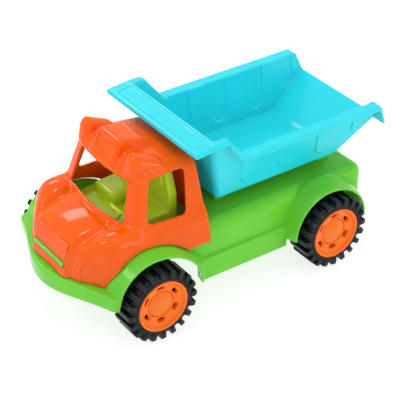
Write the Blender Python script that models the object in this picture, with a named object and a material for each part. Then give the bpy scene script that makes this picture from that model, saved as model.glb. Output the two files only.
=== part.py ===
"""Toy dump truck: a moulded chassis, cab, interior and tipping bed on four free-running wheels.

Sizes are in millimetres in the truck's own axes: +X is the truck's left, +Y its rear, +Z up. Y is measured
from the front axle, and the finished truck is centred over the world origin with its tyres on Z = 0.
"""

import math

import bmesh
import bpy
from mathutils import Matrix, Vector

MM = 0.001

# Driving dimensions
WHEELBASE = 200.0
TYRE_R = 37.0
TREAD_R = 33.6
RIM_R = 26.0
TYRE_OUT_X = 96.0
TYRE_IN_X = 68.0
LUGS = 20
FRONT_END_Y = -72.0
REAR_END_Y = 276.0
DECK_Z = 81.0
FLOOR_Z = 24.0
WALL = 2.5
FIT = 0.4

# Chassis
BODY_FRONT_Y = -29.0
BODY_REAR_Y = 256.0
REAR_EDGE_R = 10.0
BODY_HALF = 62.5
PLATFORM_HALF = 66.0
PLATFORM_FRONT_Y = 46.0
SILL_HALF = 70.0
SILL_Z = 48.0
ARCH_OUT_R = 46.5
ARCH_IN_R = 44.0
ARCH_X = 87.0
ARCH_FOOT_Z = 37.0
SIDE_GAP_R = 38.5
LEDGE_Z = 55.0
BUMPER_Z = 38.0
BUMPER_TIP_Z = 45.0
BUMPER_PLAN = ((0, FRONT_END_Y), (20, -69.5), (38, -63.0), (52, -56.5), (64, -51), (75, -47), (ARCH_X, -43.5))
REST_Z = 92.5
REST_Y = 100.0

# Axles
AXLE_R = 2.0
AXLE_HOLE_R = 2.3
AXLE_HALF = 88.0

# Cab
CAB_REAR_Y = 69.0
CAB_FOOT_Z = LEDGE_Z + FIT
CAB_SIDE_Z = 68.0
ROOF_BLOCK_Z = 167.0
ARCH_CLEAR_R = ARCH_OUT_R + 1.0

# Each ring of the lower cab: height, front of the grille, half width
LOWER_RINGS = (
    (CAB_FOOT_Z, -63.0, 71.0),
    (72.0, -61.5, 70.5),
    (84.0, -58.0, 68.5),
    (91.0, -53.0, 65.0),
    (97.0, -43.0, 60.0),
    (101.0, -30.0, 52.0),
)
# Each ring of the upper cab: height at the rear and the front, front, half width at the front and the rear
UPPER_RINGS = (
    (86.0, 86.0, -18.0, 62.0, 67.0),
    (99.0, 99.0, -15.5, 59.5, 64.5),
    (112.0, 112.0, -12.5, 57.0, 59.0),
    (133.0, 137.0, -4.5, 51.5, 53.0),
    (138.0, 141.0, -8.0, 53.0, 51.5),
    (143.0, 147.0, -5.5, 50.5, 49.5),
    (147.0, 153.0, 0.0, 47.5, 47.0),
    (150.0, 157.0, 9.0, 42.0, 42.0),
)
# Each ring of a roof light: height and radius
LIGHT_RINGS = ((150.0, 9.5), (158.0, 9.5), (162.0, 8.6), (165.5, 6.0), (167.5, 3.0))
LIGHT_PLACE = (37.0, 9.5)

# Screws and seats
SCREW_HOLE_R = 1.9
SCREW_CORE_R = 1.5
SCREW_HEAD_R = 3.4
SCREW_HEAD = 2.2
SCREW_LENGTH = 9.0
FRONT_SCREW = (44.0, -42.0)
REAR_SCREW = (52.0, 57.0)
SEAT_X = 25.0
WHEEL_RING_R = 10.5
WHEEL_GRIP_R = 1.7

# Bed
BED_FLOOR_Z = 93.0
BED_WALL = 2.6
RIM_Z = 144.5
RIM_REAR_Y = 268.0
TAIL_Z = 122.5
TAIL_LEAN = (REAR_END_Y - RIM_REAR_Y) / (RIM_Z - TAIL_Z)
HEAD_Z = 168.5
RIM_OUT = 73.4
HINGE_Y = 230.0
HINGE_Z = 87.0
HINGE_PIN_R = 2.0
HINGE_HOLE_R = 2.3
HINGE_EAR_X = 30.0
HINGE_LUG_X = 24.0
HINGE_KNUCKLE_R = 5.0

ORANGE = (1.0, 0.12, 0.0)
HUB_ORANGE = (1.0, 0.2, 0.01)
GREEN = (0.15, 0.62, 0.06)
CYAN = (0.02, 0.72, 0.8)
BLACK = (0.008, 0.009, 0.012)
STEEL = (0.55, 0.56, 0.58)


def clear_scene():
    for item in list(bpy.data.objects):
        bpy.data.objects.remove(item)


def make_material(name, colour, roughness, metallic=0.0):
    material = bpy.data.materials.new(name)
    material.use_nodes = True
    shader = material.node_tree.nodes["Principled BSDF"]
    shader.inputs["Base Color"].default_value = (*colour, 1.0)
    shader.inputs["Roughness"].default_value = roughness
    shader.inputs["Metallic"].default_value = metallic
    return material


def finish_solid(bm, name):
    """A mesh object from a closed bmesh, in metres, with its faces turned out."""
    bmesh.ops.remove_doubles(bm, verts=bm.verts, dist=1e-3)
    bmesh.ops.recalc_face_normals(bm, faces=bm.faces)
    mesh = bpy.data.meshes.new(name)
    bmesh.ops.scale(bm, vec=(MM, MM, MM), verts=bm.verts)
    bm.to_mesh(mesh)
    bm.free()
    solid = bpy.data.objects.new(name, mesh)
    bpy.context.scene.collection.objects.link(solid)
    return solid


def loft(rings, name="loft"):
    """A closed solid through rings of the same number of points, capped at both ends."""
    bm = bmesh.new()
    rows = [[bm.verts.new(point) for point in ring] for ring in rings]
    count = len(rows[0])
    for lower, upper in zip(rows, rows[1:]):
        for i in range(count):
            j = (i + 1) % count
            bm.faces.new((lower[i], lower[j], upper[j], upper[i]))
    bm.faces.new(list(reversed(rows[0])))
    bm.faces.new(rows[-1])
    return finish_solid(bm, name)


def extrude(outline, axis, low, high, name="prism"):
    """A prism of a flat outline, whose coordinates are the other two axes in X, Y, Z order."""
    def point(at, pair):
        coordinates = list(pair)
        coordinates.insert("XYZ".index(axis), at)
        return coordinates

    return loft([[point(at, pair) for pair in outline] for at in (low, high)], name)


def box(x, y, z, name="box"):
    return extrude([(x[0], y[0]), (x[1], y[0]), (x[1], y[1]), (x[0], y[1])], "Z", z[0], z[1], name)


def hull(points, name="hull"):
    bm = bmesh.new()
    for point in points:
        bm.verts.new(point)
    bmesh.ops.convex_hull(bm, input=bm.verts)
    loose = [vert for vert in bm.verts if not vert.link_faces]
    bmesh.ops.delete(bm, geom=loose, context="VERTS")
    return finish_solid(bm, name)


def arc(centre, radius, start, end, steps):
    """Points on an arc in a plane, with angles in degrees."""
    points = []
    for i in range(steps + 1):
        angle = math.radians(start + (end - start) * i / steps)
        points.append((centre[0] + radius * math.cos(angle), centre[1] + radius * math.sin(angle)))
    return points


def circle(centre, radius, steps, phase=0.0):
    return arc(centre, radius, phase, phase + 360.0, steps)[:-1]


def turned(profile, steps, name="turned"):
    """A solid turned about the X axis from a closed (x, radius) profile, which may touch the axis."""
    bm = bmesh.new()
    poles = {x: bm.verts.new((x, 0.0, 0.0)) for x, r in profile if r == 0.0}
    rows = []
    for i in range(steps):
        angle = 2.0 * math.pi * i / steps
        spoke = (math.cos(angle), math.sin(angle))
        row = []
        for x, r in profile:
            row.append(poles[x] if r == 0.0 else bm.verts.new((x, r * spoke[0], r * spoke[1])))
        rows.append(row)
    count = len(profile)
    for i in range(steps):
        row, after = rows[i], rows[(i + 1) % steps]
        for j in range(count):
            k = (j + 1) % count
            corners = list(dict.fromkeys((row[j], after[j], after[k], row[k])))
            if len(corners) > 2:
                bm.faces.new(corners)
    return finish_solid(bm, name)


def rod(x, centre, radius, steps, name="rod"):
    """A cylinder along X."""
    return extrude(circle(centre, radius, steps), "X", x[0], x[1], name)


def post(centre, radius, z, steps, name="post"):
    """A cylinder along Z."""
    return extrude(circle(centre, radius, steps), "Z", z[0], z[1], name)


def combine(base, tools, operation):
    """The base after a Boolean with each tool in turn; the tools are used up."""
    for tool in tools:
        modifier = base.modifiers.new("combine", "BOOLEAN")
        modifier.operation = operation
        modifier.solver = "EXACT"
        modifier.object = tool
        graph = bpy.context.evaluated_depsgraph_get()
        mesh = bpy.data.meshes.new_from_object(base.evaluated_get(graph))
        base.modifiers.clear()
        base.data = mesh
        bpy.data.objects.remove(tool)
    return base


def unite(base, *tools):
    return combine(base, tools, "UNION")


def cut(base, *tools):
    return combine(base, tools, "DIFFERENCE")


def mirrored(outline):
    """A plan outline closed by its own reflection in X = 0; points on X = 0 aren't repeated."""
    other = [(-x, y) for x, y in reversed(outline) if abs(x) > 1e-6]
    return list(outline) + other


def both_sides(low, high):
    """The X range of a piece on the left, and of its twin on the right."""
    return (low, high), (-high, -low)


def settle(solid, name, material, parent, smooth_angle=35.0):
    """Names a finished solid and hangs it from its parent empty, whose place becomes the solid's origin."""
    bm = bmesh.new()
    bm.from_mesh(solid.data)
    bmesh.ops.remove_doubles(bm, verts=bm.verts, dist=2e-6)
    bmesh.ops.dissolve_limit(bm, angle_limit=math.radians(0.2), verts=bm.verts, edges=bm.edges)
    bmesh.ops.triangulate(bm, faces=bm.faces)
    place = Vector(parent["truck_place"]) * MM
    bmesh.ops.translate(bm, verts=bm.verts, vec=-place)
    bm.to_mesh(solid.data)
    bm.free()
    solid.name = name
    solid.data.name = name
    solid.data.materials.clear()
    solid.data.materials.append(material)
    solid.data.shade_smooth()
    solid.data.set_sharp_from_angle(angle=math.radians(smooth_angle))
    solid.parent = parent
    return solid


def make_empty(name, place, parent=None):
    """An empty at a place in truck millimetres."""
    empty = bpy.data.objects.new(name, None)
    bpy.context.scene.collection.objects.link(empty)
    empty["truck_place"] = place
    base = Vector(parent["truck_place"]) if parent else Vector((0, (FRONT_END_Y + REAR_END_Y) / 2, 0))
    empty.location = (Vector(place) - base) * MM
    empty.parent = parent
    return empty


# ---------------------------------------------------------------- chassis

def wheel_well(axle_y, side):
    """The space that a wheel turns in: a half round over the axle, open outwards and below."""
    outline = arc((axle_y, TYRE_R), ARCH_IN_R, 0, 180, 16)
    outline += [(axle_y - ARCH_IN_R, -5), (axle_y + ARCH_IN_R, -5)]
    return extrude(outline, "X", side[0], side[1], "well")


def side_gap(axle_y):
    """The side walls are open behind each wheel, from under the deck down."""
    outline = arc((axle_y, TYRE_R), SIDE_GAP_R, 0, 180, 16)
    outline += [(axle_y - SIDE_GAP_R, -5), (axle_y + SIDE_GAP_R, -5)]
    return extrude(outline, "X", -BODY_HALF - 1.0, BODY_HALF + 1.0, "side_gap")


def half_disc(axle_y, radius, side):
    outline = arc((axle_y, TYRE_R), radius, 0, 180, 16)
    return extrude(outline, "X", side[0], side[1], "half_disc")


def body_section(half, top, edge):
    """The platform's cross-section, with rounded top edges."""
    right = arc((half - edge, top - edge), edge, 0, 90, 4)
    left = [(-x, z) for x, z in reversed(right)]
    return right + left + [(-half, FLOOR_Z), (half, FLOOR_Z)]


def make_chassis(material, parent):
    front = extrude(body_section(BODY_HALF, DECK_Z, 3.0), "Y", BODY_FRONT_Y, 60.0)
    platform = extrude(body_section(PLATFORM_HALF, DECK_Z, 9.0), "Y", PLATFORM_FRONT_Y, BODY_REAR_Y)
    sill = box((-SILL_HALF, SILL_HALF), (PLATFORM_FRONT_Y, WHEELBASE - PLATFORM_FRONT_Y), (FLOOR_Z, SILL_Z))
    plan = mirrored(list(BUMPER_PLAN) + [(ARCH_X, -38.0), (BODY_HALF, -28.0), (0.0, -28.0)])
    bumper = extrude(plan, "Z", BUMPER_Z, LEDGE_Z)
    platform = cut(platform, rear_edge_round())
    chassis = unite(front, platform, sill, bumper)
    sides = both_sides(BODY_HALF - 1.0, ARCH_X)
    for axle_y in (0.0, WHEELBASE):
        for side in sides:
            chassis = unite(chassis, half_disc(axle_y, ARCH_OUT_R, side))
    wells = both_sides(BODY_HALF, ARCH_X + 20.0)
    for axle_y in (0.0, WHEELBASE):
        for side in wells:
            chassis = cut(chassis, wheel_well(axle_y, side))
    chassis = cut(chassis, side_gap(0.0))
    chassis = cut(chassis, *bumper_rises(), *chassis_hollows())
    for axle_y in (0.0, WHEELBASE):
        chassis = unite(chassis, *axle_bosses(axle_y))
        chassis = cut(chassis, rod((-80, 80), (axle_y, TYRE_R), AXLE_HOLE_R, 12))
    chassis = unite(chassis, *hinge_ears(), *bed_rests())
    chassis = cut(chassis, rod((-60, 60), (HINGE_Y, HINGE_Z), HINGE_HOLE_R, 12))
    chassis = cut(chassis, *(post(place, SCREW_HOLE_R, (40.0, 90.0), 8) for place in screw_places()))
    return settle(chassis, "chassis", material, parent)


def rear_edge_round():
    """The waste outside the rounded rear edge of the deck."""
    y, z = BODY_REAR_Y - REAR_EDGE_R, DECK_Z - REAR_EDGE_R
    outline = arc((y, z), REAR_EDGE_R, 0, 90, 5)
    outline += [(y, DECK_Z + 5), (BODY_REAR_Y + 5, DECK_Z + 5), (BODY_REAR_Y + 5, z)]
    return extrude(outline, "X", -80.0, 80.0)


def bumper_rises():
    """The waste under the bumper, whose lower edge rises from the middle to the wheel arches."""
    rises = []
    for sign in (1, -1):
        outline = [(20, BUMPER_Z), (20, 20), (100, 20), (100, BUMPER_TIP_Z + 2)]
        rises.append(extrude([(sign * x, z) for x, z in outline], "Y", -90.0, BODY_FRONT_Y - 1.0))
    return rises


def chassis_hollows():
    """The tub is open below: one hollow down the middle, one at the bumper and one between the wheels."""
    top = DECK_Z - WALL
    inner = BODY_HALF - WALL
    centre = (BODY_REAR_Y - REAR_EDGE_R, DECK_Z - REAR_EDGE_R)
    profile = arc(centre, REAR_EDGE_R - WALL, 0, 90, 4)
    front, rear = BODY_FRONT_Y + WALL, BODY_REAR_Y - WALL
    profile += [(front, top), (front, FLOOR_Z - 10), (rear, FLOOR_Z - 10)]
    middle = extrude(profile, "X", -inner, inner)
    outline = ((0, -69), (19, -66.5), (36.5, -60.3), (50.5, -53.8), (inner, -48.5), (inner, -30), (0, -30))
    plan = mirrored(outline)
    bumper = extrude(plan, "Z", FLOOR_Z - 10, LEDGE_Z - WALL)
    low, high = PLATFORM_FRONT_Y + WALL, WHEELBASE - PLATFORM_FRONT_Y - WALL
    side = PLATFORM_HALF - WALL
    between = box((-side, side), (low, high), (FLOOR_Z - 11, top - 9.0))
    sill_inner = SILL_HALF - WALL
    sill = box((-sill_inner, sill_inner), (low, high), (FLOOR_Z - 12, SILL_Z - WALL))
    return middle, bumper, between, sill


def axle_bosses(axle_y):
    """Each axle runs in a boss on either side wall, and a web ties the boss to the deck."""
    bosses = []
    for low, high in both_sides(BODY_HALF - 14.0, BODY_HALF - 0.5):
        bosses.append(rod((low, high), (axle_y, TYRE_R), 6.0, 16))
        bosses.append(box((low, high), (axle_y - 1.2, axle_y + 1.2), (TYRE_R, DECK_Z - 1.0)))
    return bosses


def hinge_ears():
    """Upstands on the deck, round-topped, that hold the hinge pin."""
    ears = []
    for low, high in both_sides(HINGE_EAR_X, HINGE_EAR_X + 5.0):
        outline = arc((HINGE_Y, HINGE_Z), HINGE_KNUCKLE_R, 0, 180, 8)
        outline += [(HINGE_Y - HINGE_KNUCKLE_R - 2, DECK_Z - 1), (HINGE_Y + HINGE_KNUCKLE_R + 2, DECK_Z - 1)]
        ears.append(extrude(outline, "X", low, high))
    return ears


def bed_rests():
    """Two low blocks that carry the lowered bed."""
    return [box(side, (REST_Y, REST_Y + 12.0), (DECK_Z - 1, REST_Z)) for side in both_sides(22.0, 34.0)]


# ---------------------------------------------------------------- screws

def screw_places():
    return [(sign * x, y) for x, y in (FRONT_SCREW, REAR_SCREW) for sign in (1, -1)]


def make_screw(name, place, seat_z, material, parent):
    """A pan-head screw driven upwards: its head bears on the underside of the sheet at seat_z."""
    head = post(place, SCREW_HEAD_R, (seat_z - SCREW_HEAD, seat_z), 12)
    shank = post(place, SCREW_CORE_R, (seat_z - 1.0, seat_z + SCREW_LENGTH), 8)
    screw = unite(head, shank)
    slot = SCREW_HEAD_R * 0.7
    for a, b in ((slot, 0.5), (0.5, slot)):
        recess = box((place[0] - a, place[0] + a), (place[1] - b, place[1] + b), (seat_z - 3.0, seat_z - 1.2))
        screw = cut(screw, recess)
    return settle(screw, name, material, parent)


# ---------------------------------------------------------------- cab

def lower_plan(front, half, shrink=0.0):
    """The plan of the bonnet and wings: a flat grille, raked headlight faces and straight sides."""
    rear = CAB_REAR_Y - shrink
    nose = front + shrink
    side = half - shrink
    corner = nose + 0.26 * half
    points = ((0, nose), (0.42 * side, nose + 2.0), (0.68 * side, nose + 9.5), (0.87 * side, corner + 1.5))
    points += ((0.96 * side, corner + 9.0), (side, corner + 24.0), (side, 20.0), (side, rear), (0, rear))
    return mirrored(points)


def upper_plan(front, front_half, rear_half, shrink=0.0):
    """The plan of the cabin: a bowed windscreen, round front corners and sides that close in to the front."""
    nose = front + shrink
    near = front_half - shrink
    far = rear_half - shrink
    rear = CAB_REAR_Y - shrink
    points = ((0, nose), (0.5 * near, nose + 1.2), (0.8 * near, nose + 3.5), (0.95 * near, nose + 8.0))
    points += ((near, nose + 14.0), (far, rear), (0, rear))
    return mirrored(points)


def at_height(plan, z):
    return [(x, y, z) for x, y in plan]


def sloped(plan, rear_z, front_z, front):
    """A plan laid on a plane that runs from rear_z at the rear of the cab to front_z at its front."""
    slope = (front_z - rear_z) / (CAB_REAR_Y - front)
    return [(x, y, rear_z + slope * (CAB_REAR_Y - y)) for x, y in plan]


def upper_ring(ring, shrink, drop):
    rear_z, front_z, front, near, far = ring
    plan = upper_plan(front, near, far, shrink)
    return sloped(plan, rear_z - drop, front_z - drop, front)


def cab_outer():
    lower = loft([at_height(lower_plan(front, half), z) for z, front, half in LOWER_RINGS])
    upper = loft([upper_ring(ring, 0.0, 0.0) for ring in UPPER_RINGS])
    return unite(lower, upper)


def cab_inner():
    """The hollow of the cab, open below: the outer shape drawn in by the wall and cut short at the top."""
    rings = []
    for i, (z, front, half) in enumerate(LOWER_RINGS):
        rings.append(at_height(lower_plan(front, half, WALL), z - (WALL if i else 20.0)))
    lower = loft(rings)
    upper = loft([upper_ring(ring, WALL + 0.1, WALL) for ring in UPPER_RINGS])
    return lower, upper


def rounded_quad(corners, radius, steps=3):
    """A four-sided outline whose corners are rounded."""
    points = []
    count = len(corners)
    for i in range(count):
        here = Vector(corners[i])
        before = (Vector(corners[i - 1]) - here).normalized()
        after = (Vector(corners[(i + 1) % count]) - here).normalized()
        for j in range(steps + 1):
            t = j / steps
            blend = here + (1 - t) ** 2 * before * radius + t**2 * after * radius
            points.append((blend.x, blend.y))
    return points


def make_cab(material, parent):
    cab = cab_outer()
    cab = unite(cab, *roof_lights(), roof_block(0.0), grille_panel())
    cab = cut(cab, *cab_inner(), roof_block(WALL))
    side_window = rounded_quad(((11.5, 102.5), (46, 101.5), (52, 138.5), (20, 140)), 6.0)
    windscreen = rounded_quad(((-46, 99.5), (46, 99.5), (40, 136), (-40, 136)), 8.0)
    for low, high in both_sides(30.0, 90.0):
        cab = cut(cab, extrude(side_window, "X", low, high))
    cab = cut(cab, extrude(windscreen, "Y", -30.0, 10.0))
    slot = rounded_quad(((-26, 64), (26, 64), (26, 69), (-26, 69)), 2.4, 2)
    cab = cut(cab, extrude(slot, "Y", -80.0, -50.0))
    for side in both_sides(BODY_HALF - 4.0, 110.0):
        cab = cut(cab, wheel_arch_clearance(side))
    rear_foot = box((-90, 90), (40.0, 90.0), (40.0, CAB_SIDE_Z))
    back_foot = box((-68.3, 68.3), (60.0, 90.0), (40.0, DECK_Z + FIT))
    cab = cut(cab, rear_foot, back_foot)
    cab = unite(cab, *cab_feet())
    cab = cut(cab, *(post(place, SCREW_CORE_R + 0.25, (40.0, 94.0), 8) for place in screw_places()))
    return settle(cab, "cab_shell", material, parent)


def wheel_arch_clearance(side):
    outline = arc((0.0, TYRE_R), ARCH_CLEAR_R, 0, 180, 16)
    outline += [(-ARCH_CLEAR_R, 10), (ARCH_CLEAR_R, 10)]
    return extrude(outline, "X", side[0], side[1])


def roof_lights():
    """Two domed marker lights on the front corners of the roof."""
    x, y = LIGHT_PLACE
    lights = []
    for sign in (1, -1):
        lights.append(loft([at_height(circle((sign * x, y), radius, 12), z) for z, radius in LIGHT_RINGS]))
    return lights


def roof_block(inset):
    """The raised middle of the roof, and the hollow under it."""
    x, low, high = 21 - inset, -1 + inset, 38 - inset
    base = rounded_quad(((-x, low), (x, low), (x, high), (-x, high)), 4.0)
    x, low, high = 17 - inset, 5 + inset, 34 - inset
    top = rounded_quad(((-x, low), (x, low), (x, high), (-x, high)), 4.0)
    base_z = 138.0 if inset else 148.0
    return loft([at_height(base, base_z), at_height(top, ROOF_BLOCK_Z - inset)])


def grille_panel():
    """The raised panel on the nose."""
    lower = [(-29, -65.0), (29, -65.0), (29, -55.0), (-29, -55.0)]
    upper = [(-27, -57.5), (27, -57.5), (27, -50.0), (-27, -50.0)]
    return loft([at_height(lower, CAB_FOOT_Z + 2.0), at_height(upper, 88.5)])


def cab_feet():
    """Blocks inside the cab that the screws bite into: two on the bumper ledge and two on the deck."""
    x, y = FRONT_SCREW
    low, high = CAB_FOOT_Z, CAB_FOOT_Z + 10.0
    front = [box(side, (y - 8.5, y + 5), (low, high)) for side in both_sides(x - 5, x + 11)]
    x, y = REAR_SCREW
    low, high = DECK_Z + FIT, DECK_Z + FIT + 10.0
    rear = [box(side, (y - 5, y + 11), (low, high)) for side in both_sides(x - 5, x + 9)]
    return front + rear


# ---------------------------------------------------------------- interior

def make_interior(material, parent):
    """Seats, dashboard and steering wheel in one moulding that stands on the deck."""
    floor_z = DECK_Z + FIT
    interior = box((-44, 44), (-27, 51), (floor_z, floor_z + 2.5))
    for sign in (1, -1):
        interior = unite(interior, *seat(sign * SEAT_X, floor_z))
    dash = [(-27.0, floor_z), (-27.0, 91.0), (-20.0, 94.0), (-13.0, 90.5), (-9.0, floor_z)]
    interior = unite(interior, extrude(dash, "X", -42.0, 42.0))
    interior = unite(interior, *steering_wheel())
    return settle(interior, "cab_interior", material, parent)


def seat(x, floor_z):
    """One seat: a cushion, a faceted back and a headrest."""
    cushion = box((x - 17, x + 17), (14, 42), (floor_z + 1, 95.0))
    back = hull(back_points(x, floor_z))
    outline = rounded_quad(((x - 9, 120), (x + 9, 120), (x + 7, 133), (x - 7, 133)), 4.0)
    head = extrude(outline, "Y", 39.0, 47.0)
    return cushion, back, head


def back_points(x, floor_z):
    rear = [(x + dx, 51.0, z) for dx, z in ((-18, floor_z + 1), (18, floor_z + 1), (15, 119), (-15, 119))]
    front = [(x + dx, 38.0, z) for dx, z in ((-13, floor_z + 1), (13, floor_z + 1))]
    crown = [(x + dx, y, z) for dx in (-9, 9) for y, z in ((42.0, 123.5), (49.0, 123.5))]
    return rear + front + crown


def steering_wheel():
    """A ring on a column that leans back from the dashboard."""
    ring_bm = bmesh.new()
    segments, sides = 16, 6
    rows = []
    for i in range(segments):
        turn = 2 * math.pi * i / segments
        row = []
        for j in range(sides):
            around = 2 * math.pi * j / sides
            reach = WHEEL_RING_R + WHEEL_GRIP_R * math.cos(around)
            height = WHEEL_GRIP_R * math.sin(around)
            row.append(ring_bm.verts.new((reach * math.cos(turn), reach * math.sin(turn), height)))
        rows.append(row)
    for i in range(segments):
        for j in range(sides):
            after, k = rows[(i + 1) % segments], (j + 1) % sides
            ring_bm.faces.new((rows[i][j], after[j], after[k], rows[i][k]))
    ring = finish_solid(ring_bm, "ring")
    spoke = box((-11, 11), (-2.2, 2.2), (-1.0, 1.0))
    column = post((0.0, 0.0), 2.4, (-24.0, 1.2), 10)
    wheel = unite(ring, spoke, column)
    place = Matrix.Translation(Vector((SEAT_X, 2.0, 100.5)) * MM)
    tilt = place @ Matrix.Rotation(math.radians(-45), 4, "X")
    wheel.data.transform(tilt)
    return (wheel,)


# ---------------------------------------------------------------- bed

def bed_hopper(shrink, open_end):
    """The hopper as a convex block: an upright box whose front leans and whose tail slopes up."""
    low = BED_FLOOR_Z + shrink
    high = HEAD_Z + (20.0 if shrink else 0.0)
    lean = 15.0 / (157.0 - BED_FLOOR_Z)
    spread = 0.235
    front_low, front_high = 90.0 + shrink, 90.0 + shrink - lean * (high - BED_FLOOR_Z)
    half_low = 50.5 - shrink
    half_high = half_low + spread * (high - BED_FLOOR_Z)
    tail_y, tail_z = REAR_END_Y - 4.0 + open_end, TAIL_Z + shrink * 1.3 + open_end * 0.76
    half_tail = half_low + spread * (tail_z - BED_FLOOR_Z)
    points = []
    for sign in (1, -1):
        points += [(sign * half_low, front_low, low), (sign * half_low, 232.0 - shrink * 0.4, low)]
        points += [(sign * half_tail, tail_y, tail_z)]
        points += [(sign * half_high, tail_y - (high - tail_z) * TAIL_LEAN, high)]
        points += [(sign * half_high, front_high, high)]
    return hull(points)


def make_bed(material, parent):
    bed = bed_hopper(0.0, 0.0)
    rim_cut = [(107.0, RIM_Z), (REAR_END_Y + 20, RIM_Z), (REAR_END_Y + 20, HEAD_Z + 20), (60.0, HEAD_Z + 20)]
    rim_cut += [(60.0, HEAD_Z), (88.5, HEAD_Z)]
    bed = cut(bed, extrude(rim_cut, "X", -120.0, 120.0))
    bed = unite(bed, *bed_rims(), bed_canopy(), *bed_end_plates())
    bed = cut(bed, bed_hopper(BED_WALL, 12.0))
    bed = unite(bed, *hinge_lugs())
    bed = cut(bed, rod((-60, 60), (HINGE_Y, HINGE_Z), HINGE_HOLE_R, 12))
    return settle(bed, "bed", material, parent)


def bed_rims():
    """The outward lip along each side, which steps up to the headboard."""
    path = [(88.5, HEAD_Z), (107.0, RIM_Z), (RIM_REAR_Y - 1.5, RIM_Z), (RIM_REAR_Y - 1.5, RIM_Z - 5.0)]
    path += [(105.0, RIM_Z - 5.0), (86.5, HEAD_Z - 5.0), (66.0, HEAD_Z - 7.5), (66.0, HEAD_Z - 1.5)]
    return [extrude(path, "X", low, high) for low, high in both_sides(60.5, RIM_OUT)]


def bed_canopy():
    """The shelf that reaches forward from the headboard over the roof of the cab."""
    side = [(50.5, 166.2), (72.0, HEAD_Z - 0.3), (88.4, HEAD_Z), (80.0, 160.0), (70.0, 159.0), (51.5, 162.0)]
    return extrude(side, "X", -74.4, 74.4)


def bed_end_plates():
    """Flat flanges that stiffen the open rear ends of the side walls."""
    plates = []
    outline = ((57.0, TAIL_Z), (RIM_OUT - 1.5, TAIL_Z + 1.5), (RIM_OUT, RIM_Z - 1.0), (60.5, RIM_Z - 1.0))
    for sign in (1, -1):
        points = []
        for x, z in outline:
            rear = REAR_END_Y - (z - TAIL_Z) * TAIL_LEAN
            points += [(sign * x, rear - 6.0, z), (sign * x, rear, z)]
        plates.append(hull(points))
    return plates


def hinge_lugs():
    """Lugs under the bed's floor that the hinge pin runs through."""
    lugs = []
    top = BED_FLOOR_Z + 1.0
    for low, high in both_sides(HINGE_LUG_X, HINGE_EAR_X - FIT):
        outline = arc((HINGE_Y, HINGE_Z), HINGE_KNUCKLE_R, 180, 360, 8)
        outline += [(HINGE_Y + 2.0, top), (HINGE_Y - HINGE_KNUCKLE_R, top)]
        lugs.append(extrude(outline, "X", low, high))
    return lugs


# ---------------------------------------------------------------- running gear

def make_tyre(name, sign, material, parent):
    """A tread ring with square lugs, moulded to grip the rim of the hub."""
    outline = []
    pitch = 360.0 / LUGS
    for i in range(LUGS):
        centre = -90.0 + i * pitch
        for offset, radius in ((-0.31, TREAD_R), (-0.24, TYRE_R), (0.24, TYRE_R), (0.31, TREAD_R)):
            angle = math.radians(centre + offset * pitch)
            flat = radius / (math.cos(math.radians(0.24 * pitch)) if radius == TYRE_R else 1.0)
            outline.append((flat * math.cos(angle), flat * math.sin(angle)))
    ends = sorted((sign * TYRE_IN_X, sign * TYRE_OUT_X))
    tyre = extrude(outline, "X", ends[0], ends[1])
    bore = rod((ends[0] - 5, ends[1] + 5), (0, 0), RIM_R + 0.3, 32)
    tyre = cut(tyre, bore)
    tyre.data.transform(Matrix.Translation(Vector(parent["truck_place"]) * Vector((0, 1, 1)) * MM))
    return settle(tyre, name, material, parent)


def wheel_turned(profile, sign, steps, parent):
    solid = turned([(sign * x, r) for x, r in profile], steps)
    place = Vector(parent["truck_place"]) * MM
    solid.data.transform(Matrix.Translation((0.0, place.y, place.z)))
    return solid


def make_hub(name, sign, material, parent):
    """A dished disc with a rim, six slots and a long boss that runs on the axle."""
    profile = ((96.0, RIM_R), (96.0, 23.0), (91.5, 21.0), (90.0, 13.5), (86.0, 13.5), (86.0, AXLE_HOLE_R))
    profile += ((66.5, AXLE_HOLE_R), (66.5, 5.0), (85.0, 5.5), (86.5, 15.0), (88.0, 21.5))
    profile += ((86.0, 23.4), (69.0, 23.4), (69.0, RIM_R))
    hub = wheel_turned(profile, sign, 24, parent)
    place = Vector(parent["truck_place"])
    for i in range(6):
        outline = rounded_quad(((-3.6, -1.5), (3.6, -1.5), (3.6, 1.5), (-3.6, 1.5)), 1.4, 1)
        x_range = sorted((sign * 80.0, sign * 99.0))
        slot = extrude([(v + 17.8, u) for u, v in outline], "X", x_range[0], x_range[1])
        turn = Matrix.Rotation(math.radians(60 * i + 30), 4, "X")
        slot.data.transform(Matrix.Translation((0.0, place.y * MM, place.z * MM)) @ turn)
        hub = cut(hub, slot)
    return settle(hub, name, material, parent)


def make_hub_cap(name, sign, material, parent):
    """The smooth button that snaps over the end of the axle."""
    profile = ((94.0, 0.0), (93.6, 7.0), (92.0, 12.0), (90.6, 13.2))
    profile += ((86.4, 13.2), (86.4, 10.6), (91.0, 10.0), (91.0, 0.0))
    return settle(wheel_turned(profile, sign, 24, parent), name, material, parent)


def make_push_nut(name, sign, axle_y, material, parent):
    """A pressed steel cap that keeps the wheel on its axle."""
    x = sorted((sign * (86.0 + FIT), sign * 90.0))
    nut = rod(x, (axle_y, TYRE_R), 4.5, 12)
    bore = rod(sorted((sign * 80.0, sign * (AXLE_HALF + 0.5))), (axle_y, TYRE_R), AXLE_R + 0.05, 12)
    return settle(cut(nut, bore), name, material, parent)


def make_washer(name, sign, axle_y, material, parent):
    """A plain washer between the chassis wall and the hub's boss."""
    washer = rod(sorted((sign * (BODY_HALF + FIT), sign * 64.4)), (axle_y, TYRE_R), 5.0, 16)
    bore = rod(sorted((sign * 60.0, sign * 70.0)), (axle_y, TYRE_R), AXLE_HOLE_R, 12)
    return settle(cut(washer, bore), name, material, parent)


# ---------------------------------------------------------------- assembly

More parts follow.
